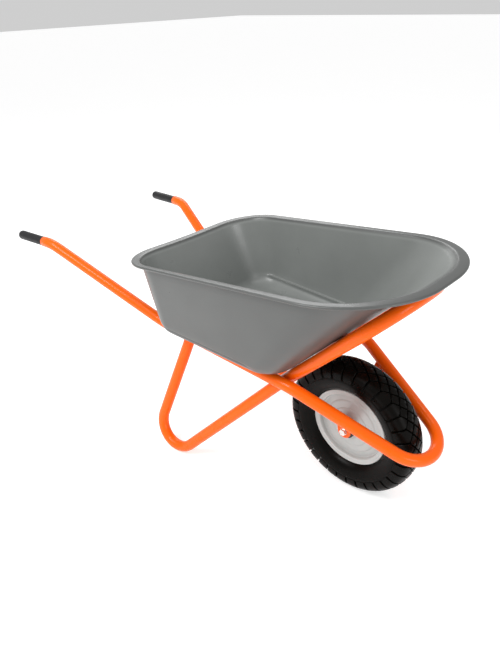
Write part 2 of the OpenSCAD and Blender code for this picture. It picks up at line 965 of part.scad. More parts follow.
module tray() {
    n = len(tray_rings[0]);
    count = len(tray_rings);
    middle_x = (floor_rear_x + floor_front_x) / 2;
    // The two flat floor faces are fans around a middle point each
    under = n * count;
    over = under + 1;
    points = concat(
        [for (r = tray_rings) each r],
        [[middle_x, 0, floor_z], [middle_x, 0, floor_z + sheet]]
    );
    faces = concat(
        [for (k = [0 : count - 2]) each ring_faces(k, k + 1, n)],
        [for (i = [0 : n - 1]) [under, (i + 1) % n, i]],
        [for (i = [0 : n - 1]) [over, (count - 1) * n + i, (count - 1) * n + (i + 1) % n]]
    );
    color("gray")
        difference() {
            polyhedron(points = points, faces = faces);
            at_tray_bolts()
                translate([0, 0, -10])
                    cylinder(h = 30, r = bolt_hole_r);
        }
}

module tray_bolts() {
    color("silver")
        at_tray_bolts() {
            translate([0, 0, sheet + seat_gap])
                cylinder(h = bolt_head_h, r1 = bolt_head_r, r2 = bolt_head_r - 3);
            translate([0, 0, sheet + seat_gap - bolt_l])
                cylinder(h = bolt_l + 0.5, d = tray_bolt_d);
        }
}

module tray_washers() {
    color("silver")
        at_tray_bolts()
            translate([0, 0, -seat_gap - bar_t - tray_washer_t - 0.1])
                ring(bolt_hole_r, tray_washer_r, tray_washer_t);
}

module tray_nuts() {
    color("silver")
        at_tray_bolts()
            translate([0, 0, -seat_gap - bar_t - tray_washer_t - 0.2 - tray_nut_h])
                hex_nut(tray_nut_d, tray_nut_h, tray_bolt_d / 2);
}

tray();
main_tube();
leg_tube();
rear_crossbar();
front_crossbar();
front_strap();
grip_left();
grip_right();
bracket_left();
bracket_right();
axle_bolt();
axle_nut();
axle_washers();
outer_spacer_left();
outer_spacer_right();
inner_spacer();
inner_race_left();
inner_race_right();
outer_race_left();
outer_race_right();
balls_left();
balls_right();
bearing_seal_left();
bearing_seal_right();
hub();
rim_half_left();
rim_half_right();
rim_tape();
tyre();
inner_tube();
valve_stem();
valve_cap();
tray_bolts();
tray_washers();
tray_nuts();
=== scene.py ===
"""Looks of a builder's wheelbarrow: grey pressed tray, orange tube frame, block-tread tyre.

Row frame: +X forward, +Y left, +Z up, the origin on the ground under the axle. Metres.
"""
import json
import math

import bmesh
import bpy
import numpy as np
from mathutils import Matrix, Vector


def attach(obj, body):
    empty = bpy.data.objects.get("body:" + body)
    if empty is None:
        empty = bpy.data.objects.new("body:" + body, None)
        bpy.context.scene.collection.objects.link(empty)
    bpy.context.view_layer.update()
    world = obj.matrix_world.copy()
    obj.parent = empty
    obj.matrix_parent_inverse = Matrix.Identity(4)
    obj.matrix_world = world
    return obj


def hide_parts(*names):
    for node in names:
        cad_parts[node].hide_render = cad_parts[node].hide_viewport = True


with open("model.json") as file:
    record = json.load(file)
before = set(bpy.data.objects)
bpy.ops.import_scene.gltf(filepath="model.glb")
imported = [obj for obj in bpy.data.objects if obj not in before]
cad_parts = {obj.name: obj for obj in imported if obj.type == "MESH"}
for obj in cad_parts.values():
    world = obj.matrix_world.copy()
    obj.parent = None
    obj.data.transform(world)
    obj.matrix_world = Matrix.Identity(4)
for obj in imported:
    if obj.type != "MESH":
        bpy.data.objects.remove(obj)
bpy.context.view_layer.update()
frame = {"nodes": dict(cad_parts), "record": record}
rng = np.random.default_rng(7)
MM = 0.001
X_AXIS, Z_AXIS = np.eye(3)[[0, 2]]


# ---- Small maths ---------------------------------------------------------

def vec(*p):
    return np.array(p, dtype=float) * MM


def unit(v):
    return v / np.linalg.norm(v)


def flip(p):
    return np.array([p[0], -p[1], p[2]])


def smooth_line(points, steps=6):
    """Catmull-Rom curve through 2-D points."""
    p = np.array(points, dtype=float)
    p = np.vstack([2 * p[0] - p[1], p, 2 * p[-1] - p[-2]])
    out = []
    for i in range(1, len(p) - 2):
        a, b, c, d = p[i - 1:i + 3]
        for k in range(steps):
            t = k / steps
            out.append(0.5 * (2 * b + (c - a) * t + (2 * a - 5 * b + 4 * c - d) * t ** 2
                              + (3 * b - a - 3 * c + d) * t ** 3))
    out.append(p[-2])
    return np.array(out)


# ---- Mesh building -------------------------------------------------------

def make_object(name, verts, faces, angle=40):
    """Closed mesh with smooth shading and edges sharp from the given angle."""
    bm = bmesh.new()
    made = [bm.verts.new(v) for v in verts]
    for f in faces:
        bm.faces.new([made[i] for i in f])
    bmesh.ops.recalc_face_normals(bm, faces=bm.faces)
    mesh = bpy.data.meshes.new(name)
    bm.to_mesh(mesh)
    bm.free()
    obj = bpy.data.objects.new(name, mesh)
    bpy.context.collection.objects.link(obj)
    mesh.shade_smooth()
    mesh.set_sharp_from_angle(angle=math.radians(angle))
    return obj


def band(a, b, n):
    """Quads between two closed rings of n points that start at a and b."""
    return [(a + i, a + (i + 1) % n, b + (i + 1) % n, b + i) for i in range(n)]


class Parts:
    """Collects closed bits of mesh for one object."""

    def __init__(self):
        self.verts, self.faces = [], []

    def add(self, verts, faces):
        base = len(self.verts)
        self.verts += [tuple(v) for v in verts]
        self.faces += [tuple(i + base for i in f) for f in faces]

    def rings(self, rings, closed_ends=True, torus=False):
        """Skin of quads over rings of equal length."""
        n, count = len(rings[0]), len(rings)
        faces = []
        last = count if torus else count - 1
        for k in range(last):
            faces += band(k * n, ((k + 1) % count) * n, n)
        if closed_ends and not torus:
            faces += [tuple(range(n)), tuple(range((count - 1) * n, count * n))]
        self.add(np.concatenate(rings), faces)

    def revolve(self, line, segments=160):
        """Closed outline of (radius, y) in mm turned round the wheel axis."""
        rings = []
        for k in range(segments):
            a = 2 * math.pi * k / segments
            rings.append([wheel_point(r, y, a) for r, y in line])
        self.rings(rings, torus=True)

    def build(self, name, **shade):
        return make_object(name, self.verts, self.faces, **shade)


AXLE_Z = 200.0


def wheel_point(r, y, a):
    return (r * math.cos(a) * MM, y * MM, (AXLE_Z + r * math.sin(a)) * MM)


# ---- Bent tubes ----------------------------------------------------------

TUBE_D, TUBE_R, SEAT = 33.0, 16.5, 0.3
RAIL_REAR = vec(-602, 160, 369)
RAIL_FRONT = vec(-86, 164, 369)
HANDLE_TURN = vec(-1002, 273, 561)
HANDLE_END = vec(-1185, 285, 553)
FORK_POINT = vec(449, 0, 135)
GRIP_DIR = unit(HANDLE_END - HANDLE_TURN)
NECK_START = HANDLE_END - GRIP_DIR * 137 * MM
CROSSING_Y = 164 - TUBE_D - SEAT
CROSSING = vec(-140, CROSSING_Y, 350)
LEG_TOP = vec(-476, 161, 369)
REST_CORNER = vec(165, CROSSING_Y, 654)
FOOT_BEND, CROSSING_BEND, NOSE_BEND = 70, 180, 86.2
REST_FLAT = 8             # half of the straight run across the front rest
HANDLE_BEND, RAIL_BEND = 110, 130
STRAIGHT_STEP = 0.04      # longest straight station, m
NECK_MARGIN = 0.02        # room kept between the neck and the next station, m
LEG_MARGIN, COPE_START = 0.034, 0.030   # stations near a leg's top, m


def bend(a, b, c, r, step=4):
    """Stations (point, direction) of a bend of radius r mm at corner b."""
    u, v = unit(b - a), unit(c - b)
    angle = math.acos(np.clip(u @ v, -1, 1))
    m = unit(v - (u @ v) * u)
    r = r * MM
    o = b - u * r * math.tan(angle / 2) + m * r
    n = max(4, math.ceil(math.degrees(angle) / step))
    t = [angle * i / n for i in range(n + 1)]
    return [(o - m * r * math.cos(k) + u * r * math.sin(k), u * math.cos(k) + m * math.sin(k))
            for k in t]


def along(path, radii):
    """Stations (point, direction) of a bent tube, the straight runs split up."""
    out = [(path[0], unit(path[1] - path[0]))]
    for i in range(1, len(path) - 1):
        part = bend(path[i - 1], path[i], path[i + 1], radii[i])
        a, b = out[-1][0], part[0][0]
        n = int(np.linalg.norm(b - a) // STRAIGHT_STEP)
        out += [(a + (b - a) * k / (n + 1), part[0][1]) for k in range(1, n + 1)]
        out += part
    a, b = out[-1][0], path[-1]
    n = int(np.linalg.norm(b - a) // STRAIGHT_STEP)
    out += [(a + (b - a) * k / (n + 1), out[-1][1]) for k in range(1, n + 2)]
    return out


def tube(parts, stations, radii, sides=40):
    """Round skin over stations, each with its own radius in metres."""
    side, rings = Z_AXIS, []
    for (p, t), r in zip(stations, radii):
        side = unit(side - (side @ t) * t)
        b = np.cross(t, side)
        a = [2 * math.pi * k / sides for k in range(sides)]
        rings.append([p + r * (math.cos(k) * side + math.sin(k) * b) for k in a])
    parts.rings(rings)


def weld(parts, points, r=2.6, closed=False):
    """Lumpy weld bead along points (metres)."""
    pts = np.array(points)
    stations, radii = [], []
    for i, p in enumerate(pts):
        a = pts[i - 1] if i else pts[0]
        b = pts[i + 1] if i + 1 < len(pts) else pts[-1]
        if closed:
            a, b = pts[i - 1], pts[(i + 1) % len(pts)]
        stations.append((p, unit(b - a)))
        radii.append((r + 0.5 * math.sin(i * 2.1) + 0.2 * rng.random()) * MM)
    if closed:
        side, rings = X_AXIS + 0.3 * Z_AXIS, []
        for (p, t), rr in zip(stations, radii):
            side = unit(side - (side @ t) * t)
            b = np.cross(t, side)
            rings.append([p + rr * (math.cos(k * math.pi / 4) * side
                                    + math.sin(k * math.pi / 4) * b) for k in range(8)])
        first = rings[0]
        shift = min(range(8), key=lambda s: sum(
            np.linalg.norm(rings[-1][j] - first[(j + s) % 8]) for j in range(8)))
        rings.append([first[(j + shift) % 8] for j in range(8)])
        parts.rings(rings, closed_ends=False)
        return
    radii[0] = radii[-1] = 0.6 * MM
    tube(parts, stations, radii, sides=8)


def to_skin(p, axis, other_point, other_axis, r_big):
    """The point where a line from p along axis leaves the skin of a tube."""
    u = p - other_point
    u = u - (u @ other_axis) * other_axis
    w = axis - (axis @ other_axis) * other_axis
    aa, bb, cc = w @ w, 2 * (u @ w), u @ u - r_big ** 2
    disc = max(bb * bb - 4 * aa * cc, 0)
    return p + axis * (-bb + math.sqrt(disc)) / (2 * aa)


def saddle(centre, axis, r_small, other_point, other_axis, r_big, n=40):
    """Points where a tube (centre, axis, r_small) meets the skin of a bigger tube."""
    axis, other_axis = unit(axis), unit(other_axis)
    s = unit(np.cross(axis, Z_AXIS))
    b = np.cross(axis, s)
    out = []
    for k in range(n):
        a = 2 * math.pi * k / n
        p = centre + r_small * (math.cos(a) * s + math.sin(a) * b)
        out.append(to_skin(p, axis, other_point, other_axis, r_big))
    return out


def main_tube():
    parts = Parts()
    half = [HANDLE_END - GRIP_DIR * 3 * MM, HANDLE_TURN, RAIL_REAR, RAIL_FRONT]
    path = half + [FORK_POINT] + [flip(p) for p in half[::-1]]
    radii = [0, HANDLE_BEND, RAIL_BEND, RAIL_BEND, NOSE_BEND, RAIL_BEND, RAIL_BEND, HANDLE_BEND, 0]
    stations = along(path, radii)
    start = half[0]
    neck_l = np.linalg.norm(NECK_START - start)
    keep, rr = [], []
    for p, t in stations:
        d = min(np.linalg.norm(p - start), np.linalg.norm(p - flip(start)))
        if d < neck_l + NECK_MARGIN:
            continue
        keep.append((p, t))
        rr.append(TUBE_R * MM)
    t0 = -GRIP_DIR
    neck = [(start, 12.5), (NECK_START - t0 * 0.3 * MM, 12.5), (NECK_START, 13.2),
            (NECK_START + t0 * 0.6 * MM, 15.4), (NECK_START + t0 * 1.8 * MM, 16.5)]
    left = [(p, t0) for p, _ in neck]
    right = [(flip(p), -flip(t0)) for p, _ in neck[::-1]]
    r_left = [r * MM for _, r in neck]
    tube(parts, left + keep + right, r_left + rr + r_left[::-1])
    return parts.build("main_tube_painted", angle=60)


def find_foot():
    """Corner point of a leg, so that the foot's bend just reaches the ground."""
    front = unit(vec(-443, 254, TUBE_R) - CROSSING)

    def low(drop):
        p = CROSSING + front * drop * MM
        u, v = unit(LEG_TOP - p), unit(CROSSING - p)
        angle = math.acos(unit(p - LEG_TOP) @ unit(CROSSING - p))
        w = unit(u + v)
        o = p + w * FOOT_BEND * MM / math.sin((math.pi - angle) / 2)
        n = unit(np.cross(u, v))
        return o[2] - FOOT_BEND * MM * math.sqrt(1 - n[2] ** 2)

    a, b = 350.0, 1100.0
    for _ in range(30):
        mid = (a + b) / 2
        a, b = (mid, b) if low(mid) > TUBE_R * MM else (a, mid)
    return CROSSING + front * (a + b) / 2 * MM


def leg_tube():
    parts = Parts()
    foot = find_foot()
    half = [LEG_TOP, foot, CROSSING, REST_CORNER]
    path = half + [flip(p) for p in half[::-1]]
    rest_r = CROSSING_Y - REST_FLAT
    radii = [0, FOOT_BEND, CROSSING_BEND, rest_r, rest_r, CROSSING_BEND, FOOT_BEND, 0]
    stations = along(path, radii)
    # the top end is coped to the rail's underside
    rail = unit(RAIL_FRONT - RAIL_REAR)
    t = unit(foot - LEG_TOP)
    cope = saddle(LEG_TOP, t, TUBE_R * MM, RAIL_REAR, rail, (TUBE_R + SEAT) * MM)
    top = LEG_TOP + t * COPE_START
    keep = [(p, d) for p, d in stations
            if min(np.linalg.norm(p - LEG_TOP), np.linalg.norm(p - flip(LEG_TOP))) > LEG_MARGIN]
    side, rings = Z_AXIS, []
    for p, d in [(top, t)] + keep + [(flip(top), -flip(t))]:
        side = unit(side - (side @ d) * d)
        b = np.cross(d, side)
        rings.append([p + TUBE_R * MM * (math.cos(k) * side + math.sin(k) * b)
                      for k in np.arange(40) * math.pi / 20])
    # move the end rings' points along the tube onto the rail
    for ring_i, sgn in ((0, 1), (-1, -1)):
        side_of = flip if sgn < 0 else np.array
        rings[ring_i] = [side_of(to_skin(side_of(q), t, RAIL_REAR, rail, (TUBE_R + SEAT) * MM))
                         for q in rings[ring_i]]
    parts.rings(rings)
    for f in (lambda p: p, flip):
        weld(parts, [f(p) for p in cope], r=2.4, closed=True)
    return parts.build("leg_tube_painted", angle=60)


# ---- Tray ----------------------------------------------------------------

SHEET = 1.5
RIM = dict(xr=-664, xf=216, yr=274, yf=254, rr=138, rf=225)
RIM_REAR_Z, RIM_FRONT_Z, RIM_SAG = 598, 706.9, 8
FLANGE_W, BEAD_R = 23, 4
WALL_REAR_R, WALL_FRONT_R = 120, 205
FLOOR_REAR_X, FLOOR_REAR_Y, FLOOR_FRONT_Y = -548, 234, 216
FLOOR_REAR_R, FLOOR_FRONT_R = 60, 72
SIDE_FILLET, FRONT_FILLET = 48, 85
FLOOR_Z = 369 + TUBE_R + SEAT
SLOPE = math.atan2(654 - 350, 165 + 140)
FLOOR_FRONT_X = (-140 - (TUBE_R + SEAT) / math.sin(SLOPE)
                 + (FLOOR_Z - 350) / math.tan(SLOPE))
REAR_H, FRONT_H = RIM_REAR_Z - FLOOR_Z, RIM_FRONT_Z - FLOOR_Z
WALL_REAR_X = RIM["xr"] + FLANGE_W
WALL_REAR_Y, WALL_FRONT_Y = RIM["yr"] - FLANGE_W, RIM["yf"] - FLANGE_W
REAR_ANGLE = math.atan2(REAR_H, FLOOR_REAR_X - WALL_REAR_X)


def lerp(a, b, t):
    return a + (b - a) * t


def slope_x(z):
    return FLOOR_FRONT_X + (z - FLOOR_Z) / math.tan(SLOPE)


def wall_run(h, a, r):
    if h < r * (1 - math.cos(a)):
        return math.sqrt(r * r - (r - h) ** 2) - r * math.tan(a / 2)
    return h / math.tan(a)


CORNER_STEPS, END_STEPS, SIDE_STEPS = 22, 10, 44


def half_outline(xr, xf, yr, yf, rr, rf):
    lean = math.atan2(yr - yf, xf - xr)
    cy_r = (math.cos(lean) * yr - math.sin(lean) * rr - rr) / math.cos(lean)
    cy_f = (math.cos(lean) * yr + math.sin(lean) * (xr - xf + rf) - rf) / math.cos(lean)
    pts = [(xr, cy_r * s / END_STEPS) for s in range(END_STEPS)]
    for i in range(CORNER_STEPS + 1):
        a = lerp(math.pi, math.pi / 2 - lean, i / CORNER_STEPS)
        pts.append((xr + rr + rr * math.cos(a), cy_r + rr * math.sin(a)))
    a0, a1 = math.pi / 2 - lean, 0
    end = (xf - rf + rf * math.cos(a0), cy_f + rf * math.sin(a0))
    start = pts[-1]
    pts += [(lerp(start[0], end[0], k / SIDE_STEPS), lerp(start[1], end[1], k / SIDE_STEPS))
            for k in range(1, SIDE_STEPS)]
    for i in range(CORNER_STEPS + 1):
        a = lerp(a0, a1, i / CORNER_STEPS)
        pts.append((xf - rf + rf * math.cos(a), cy_f + rf * math.sin(a)))
    pts += [(xf, cy_f * s / END_STEPS) for s in range(END_STEPS - 1, -1, -1)]
    return [(x, y, (x - xr) / (xf - xr)) for x, y in pts]


def sag_drop(y, yr):
    return RIM_SAG * (1 - (y / yr) ** 2)


def sag_shift(share):
    return lerp(1 / math.tan(REAR_ANGLE), -1 / math.tan(SLOPE), share)


def whole(half):
    return [np.array(p) * MM for p in half] + [flip(np.array(p)) * MM for p in half[-2:0:-1]]


def wall_ring(t, skin):
    hr, hf = t * REAR_H, t * FRONT_H
    side_ar = math.atan2(REAR_H, WALL_REAR_Y - FLOOR_REAR_Y)
    side_af = math.atan2(FRONT_H, WALL_FRONT_Y - FLOOR_FRONT_Y)
    r = SIDE_FILLET - skin
    run_r, run_f = wall_run(hr, side_ar, r), wall_run(hf, side_af, r)
    inset = max(0, -run_r)
    xr = FLOOR_REAR_X - wall_run(hr, REAR_ANGLE, r) + skin
    xf = FLOOR_FRONT_X + wall_run(hf, SLOPE, FRONT_FILLET - skin) - skin
    yr, yf = FLOOR_REAR_Y + run_r - skin, FLOOR_FRONT_Y + run_f - skin
    rr = lerp(FLOOR_REAR_R, WALL_REAR_R, t) - inset / 2 - skin
    rf = lerp(FLOOR_FRONT_R, WALL_FRONT_R, t) - inset / 2 - skin
    out = []
    for x, y, s in half_outline(xr, xf, yr, yf, rr, rf):
        drop = t * t * sag_drop(y, yr)
        out.append((x + drop * sag_shift(s), y,
                    FLOOR_Z + lerp(hr, hf, s) + skin * (1 - t) - drop))
    return whole(out)


def flange_ring(out_by, dz):
    share = out_by / FLANGE_W
    half = half_outline(
        WALL_REAR_X - out_by, lerp(slope_x(RIM_FRONT_Z), RIM["xf"], share),
        WALL_REAR_Y + out_by, WALL_FRONT_Y + out_by,
        lerp(WALL_REAR_R, RIM["rr"], share), lerp(WALL_FRONT_R, RIM["rf"], share))
    pts = []
    for x, y, s in half:
        drop = sag_drop(y, RIM["yr"])
        pts.append((x + (1 - share) * drop * sag_shift(s), y,
                    lerp(RIM_REAR_Z, RIM_FRONT_Z, s) + dz - drop))
    return whole(pts)


LEVELS = sorted(set([round(0.2 * (k / 56) ** 1.5, 5) for k in range(57)]
                    + [0.25, 0.32, 0.4, 0.5, 0.6, 0.7, 0.8, 0.88, 0.93, 0.955]))


FLOOR_SHRINK = (0.8, 0.55, 0.3)


def tray():
    parts = Parts()
    outer = [wall_ring(t, 0) for t in LEVELS]
    inner = [wall_ring(t, SHEET) for t in LEVELS]
    # the corner between wall and flange is a small rolled radius
    roll = [flange_ring(o, z) for o, z in ((0.8, -4.6), (2.2, -2.7), (4.5, -SHEET))]
    flat = [flange_ring(o, -SHEET)
            for o in (9, FLANGE_W - 2 * BEAD_R - 1, FLANGE_W - BEAD_R - SHEET)]
    bead = [flange_ring(FLANGE_W - BEAD_R + BEAD_R * math.cos(a), BEAD_R * math.sin(a) - BEAD_R)
            for a in np.radians(np.arange(-150, 91, 15))]
    top = [flange_ring(o, z) for o, z in ((13, 0), (6, 0), (3.2, -0.5), (1.2, -1.8), (0.1, -3.6))]
    rings = outer + roll + flat + bead + top + inner[::-1]
    n = len(rings[0])
    verts = np.concatenate(rings)
    faces = []
    for k in range(len(rings) - 1):
        faces += band(k * n, (k + 1) * n, n)
    # floors: shrink the last ring inwards in steps, then close with a fan
    middle = np.array([(FLOOR_REAR_X + FLOOR_FRONT_X) / 2, 0, 0]) * MM
    verts = [np.array(v) for v in verts]
    for first, z in ((0, FLOOR_Z), ((len(rings) - 1) * n, FLOOR_Z + SHEET)):
        prev = first
        ring = np.array(verts[first:first + n])
        for s in FLOOR_SHRINK:
            now = len(verts)
            verts += [np.array([lerp(middle[0], p[0], s), p[1] * s, z * MM]) for p in ring]
            faces += band(prev, now, n)
            prev = now
        c = len(verts)
        verts.append(np.array([middle[0], 0, z * MM]))
        faces += [(c, prev + i, prev + (i + 1) % n) for i in range(n)]
    # 1 on the tray's inner skin and inner floor, 0 on the outer skin and on the flange: painted
    # light, the inner skin is coloured lighter than the outer one
    first_inner = (len(rings) - len(inner)) * n
    inside = np.zeros(len(verts))
    inside[first_inner:first_inner + len(inner) * n] = 1
    last_floor = len(verts) - len(FLOOR_SHRINK) * n - 1
    inside[last_floor:] = 1
    verts = press_crease(np.array(verts))
    parts.add(verts, faces)
    obj = parts.build("tray_pressed", angle=50)
    painted_light_mask = obj.data.attributes.new("inside", "FLOAT", "POINT")
    painted_light_mask.data.foreach_set("value", inside)
    return obj


# The pressed line: its ends, its height over the floor, how far it stands up, its half width
CREASE_X = (-610, -165)
CREASE_Y = (233, 216)
CREASE_UP, CREASE_H, CREASE_W = 29.0, 6.0, 4.0
CREASE_FADE = 0.10        # share of its length over which each end dies away
CREASE_IN, CREASE_LIFT = 0.6, 0.8       # direction of the lift: inwards, upwards


def press_crease(v):
    """A narrow line pressed up along the foot of each side wall, both skins together."""
    x, y, z = v.T / MM
    share = (x - CREASE_X[0]) / (CREASE_X[1] - CREASE_X[0])
    line_y = lerp(CREASE_Y[0], CREASE_Y[1], share)
    off = np.hypot(np.abs(y) - line_y, z - FLOOR_Z - CREASE_UP)
    fade = np.clip(share / CREASE_FADE, 0, 1) * np.clip((1 - share) / CREASE_FADE, 0, 1)
    lift = CREASE_H * np.exp(-(off / CREASE_W) ** 2) * fade ** 2
    out = v.copy()
    out[:, 1] -= np.sign(y) * CREASE_IN * lift * MM
    out[:, 2] += CREASE_LIFT * lift * MM
    return out


# ---- Grips ---------------------------------------------------------------

GRIP_L, GRIP_R = 136.8, 15.0


def grip(side):
    parts = Parts()
    back = HANDLE_END - GRIP_DIR * GRIP_L * MM
    # (distance from the open end, radius): collar with a groove, sleeve, domed end
    line = [(0, 12.8), (0, 14.4), (1.0, GRIP_R), (6, GRIP_R), (7.2, 14.6), (8.6, GRIP_R)]
    line += [(k, GRIP_R) for k in (30, 60, 90, 118, 127)]
    line += [(130.5, 14.7), (133.5, 13.6), (135.6, 11.6), (136.6, 8.8), (GRIP_L, 5.0),
             (GRIP_L, 0.4)]
    stations = [(back + GRIP_DIR * d * MM, GRIP_DIR) for d, _ in line]
    radii = [r * MM for _, r in line]
    if side < 0:
        stations = [(flip(p), flip(t)) for p, t in stations]
    tube(parts, stations, radii, sides=48)
    return parts.build("grip_sleeve_left" if side > 0 else "grip_sleeve_right", angle=50)


# ---- Tyre ----------------------------------------------------------------

TYRE_R = 200.0
# Outline of the tyre as (radius, y), from the middle of the tread to the rim
CROWN = smooth_line([(200, 0), (199.7, 8), (198.2, 19), (194.6, 29.5), (188, 38),
                     (179, 42.8), (168, 44.6), (156, 44.4), (144, 42.2), (132, 37.2),
                     (124, 31.5), (118.6, 25.4), (116.4, 21.8)], 8)
CROWN_S = np.concatenate([[0], np.cumsum(np.linalg.norm(np.diff(CROWN, axis=0), axis=1))])
CROWN_N = np.gradient(CROWN, axis=0)
CROWN_N = np.stack([CROWN_N[:, 1], -CROWN_N[:, 0]], axis=1)
CROWN_N /= np.linalg.norm(CROWN_N, axis=1)[:, None]
GROOVE = 8.5
GROOVE_EVEN, GROOVE_FADE = 50, 24       # even depth up to here, gone this much further, mm
TREAD_END = GROOVE_EVEN + GROOVE_FADE


def crown(s, inset=0.0):
    """Point (r, y) of the tread's outline at arc length s from the middle, moved inwards."""
    k = abs(s)
    p = np.array([np.interp(k, CROWN_S, CROWN[:, j]) for j in (0, 1)])
    n = np.array([np.interp(k, CROWN_S, CROWN_N[:, j]) for j in (0, 1)])
    q = p - n * inset
    return q[0], math.copysign(q[1], s) if s else 0.0


def depth(s):
    """How deep the grooves are at arc length s."""
    return GROOVE * (1 - np.clip((abs(s) - GROOVE_EVEN) / GROOVE_FADE, 0, 1) ** 1.5)


LUGS = 32
PITCH = 2 * math.pi / LUGS
ROW, GAP = 15.0, 2.0      # rows of diamonds and the grooves between them, mm
BLOCK_SINK = 0.6          # how far a block's foot goes below the groove
# Half widths of a shoulder block at distances s from the tread's middle, mm
SHOULDER_LUG = ((17.5, 0.8), (20, 4.4), (24, 10.6), (28, 16.0), (33, 17.2), (39, 17.2),
                (46, 17.0), (53, 16.8), (60, 16.4), (66, 15.8), (71, 15.2))


def tyre_pt(u, s, inset):
    r, y = crown(s, inset)
    return wheel_point(r, y, u)


def block(parts, corners, cu, cs, sink, bevel=1.0, taper=1.5):
    """Raised block; corners are (u mm along the crown, s mm across)."""
    n = len(corners)
    verts, faces = [], []
    levels = ((sink, taper), (bevel * 0.9, 0.0), (0.25, -bevel * 0.55), (0.0, -bevel))
    for inset, grow in levels:
        for u, s in corners:
            d = math.hypot(u - cu, s - cs)
            k = (d + grow) / d
            uu, ss = cu + (u - cu) * k, cs + (s - cs) * k
            verts.append(tyre_pt(uu / TYRE_R, ss, inset))
    verts.append(tyre_pt(cu / TYRE_R, cs, 0.0))
    for k in range(len(levels) - 1):
        faces += band(k * n, (k + 1) * n, n)
    top, centre = (len(levels) - 1) * n, len(levels) * n
    faces += [(centre, top + i, top + (i + 1) % n) for i in range(n)]
    faces.append(tuple(range(n - 1, -1, -1)))
    parts.add(verts, faces)


def shoulder(parts, cu, sgn, outline):
    """Radial shoulder block with a pointed inner end, reaching down the sidewall."""
    verts, faces = [], []
    per, edge, flare, overrun = 7, 0.8, 1.0, 1.3
    for s, w in outline:
        sink = depth(s) + edge
        w2 = max(w - 0.9, 0.3)
        for u, inset in ((-w - flare, sink), (-w, edge), (-w2, 0.0), (0, 0.0), (w2, 0.0),
                         (w, edge), (w + flare, sink)):
            verts.append(tyre_pt((cu + u) / TYRE_R, sgn * s, inset))
    # end rings sink into the carcass
    for (s, w), where in ((outline[0], -overrun), (outline[-1], overrun)):
        for u in (-w - flare, -w, -w * 0.6, 0, w * 0.6, w, w + flare):
            verts.append(tyre_pt((cu + u) / TYRE_R, sgn * (s + where), depth(s) + edge))
    m = len(outline)
    lo, hi = m * per, (m + 1) * per
    order = [lo] + [k * per for k in range(m)] + [hi]
    for a, b in zip(order, order[1:]):
        faces += [(a + i, a + i + 1, b + i + 1, b + i) for i in range(per - 1)]
        faces.append((a, b, b + per - 1, a + per - 1))
    faces += [tuple(range(lo, lo + per)), tuple(range(hi, hi + per))]
    parts.add(verts, faces)


def tyre():
    parts = Parts()
    # carcass, from bead toe to bead toe
    outer = [crown(s, depth(s) if s < TREAD_END else 0) for s in np.linspace(0, CROWN_S[-1], 46)]
    toe = [(115.0, 20.0), (104.5, 20.0), (101.8, 18.4), (101.8, 12.0), (114, 13.0), (126, 27),
           (142, 37), (156, 39.5), (171, 38.5), (182, 33), (186, 23), (187.5, 11), (187.8, 0)]
    half = outer + toe
    parts.revolve(half + [(r, -y) for r, y in half[-2:0:-1]], segments=204)

    p = PITCH * TYRE_R
    hu, hs = p / 2 - GAP * 1.75, ROW - GAP * 1.05
    tips = [(hu, 0), (0, hs), (-hu, 0), (0, -hs)]
    for i in range(LUGS):
        for row in range(-1, 2):
            cu, cs = (i + 0.5 * (row % 2)) * p, row * ROW
            corners = []
            for k in range(4):
                a, b = tips[k], tips[(k + 1) % 4]
                # the diamonds' points are cut off a little
                corners += [(cu + lerp(a[0], b[0], t), cs + lerp(a[1], b[1], t))
                            for t in (0.06, 0.5, 0.94)]
            block(parts, corners, cu, cs, GROOVE + BLOCK_SINK)
        for sgn in (-1, 1):
            shoulder(parts, i * p, sgn, SHOULDER_LUG)
    return parts.build("tyre_block_tread", angle=32)


# ---- Rim -----------------------------------------------------------------

HUB_HOLE, DOME_Y = 25.3, 26.0
LIP_R, LIP_MID = 2.0, (114.0, 21.9)


def rim(side):
    """One pressed disc; the outlines are (radius, y) in mm."""
    parts = Parts()
    h, d = HUB_HOLE, DOME_Y
    dome = [(h, d), (h + 5, d), (h + 10, d), (h + 22, d - 3), (h + 32, d - 6)]
    dish = [(h + 33.5, d - 7), (h + 35, d - 7.9), (h + 44, d - 9.8), (h + 53, d - 11.8)]
    foot = [(h + 54.5, d - 12.9), (h + 56.5, d - 14), (90, 10.2), (96, 8.9)]
    seat = [(98.6, 9.6), (99.6, 12), (99.8, 18), (101.6, 21.6), (105, 22.4), (111, 22.4)]
    face = []
    for curve, steps in ((dome, 4), (dish, 4), (foot, 4), (seat, 5)):
        face += smooth_line(curve, steps).tolist()
    lip = [(LIP_MID[0] + LIP_R * math.cos(a), LIP_MID[1] + LIP_R * math.sin(a))
           for a in np.radians(np.arange(120, -101, -20))]
    back = [(111, 20.6), (103.5, 20.4), (101.5, 18.8), (101.5, 0.2), (99.7, 0.2), (99.7, 6.0),
            (h + 55, d - 16), (h + 52, d - 14), (h + 34, d - 10), (h + 31, d - 8),
            (h + 9, d - 1.8), (h, d - 1.8)]
    parts.revolve([(r, y * side) for r, y in face + lip + back], segments=180)
    return parts.build("rim_disc_left" if side > 0 else "rim_disc_right", angle=40)


# ---- Materials -----------------------------------------------------------

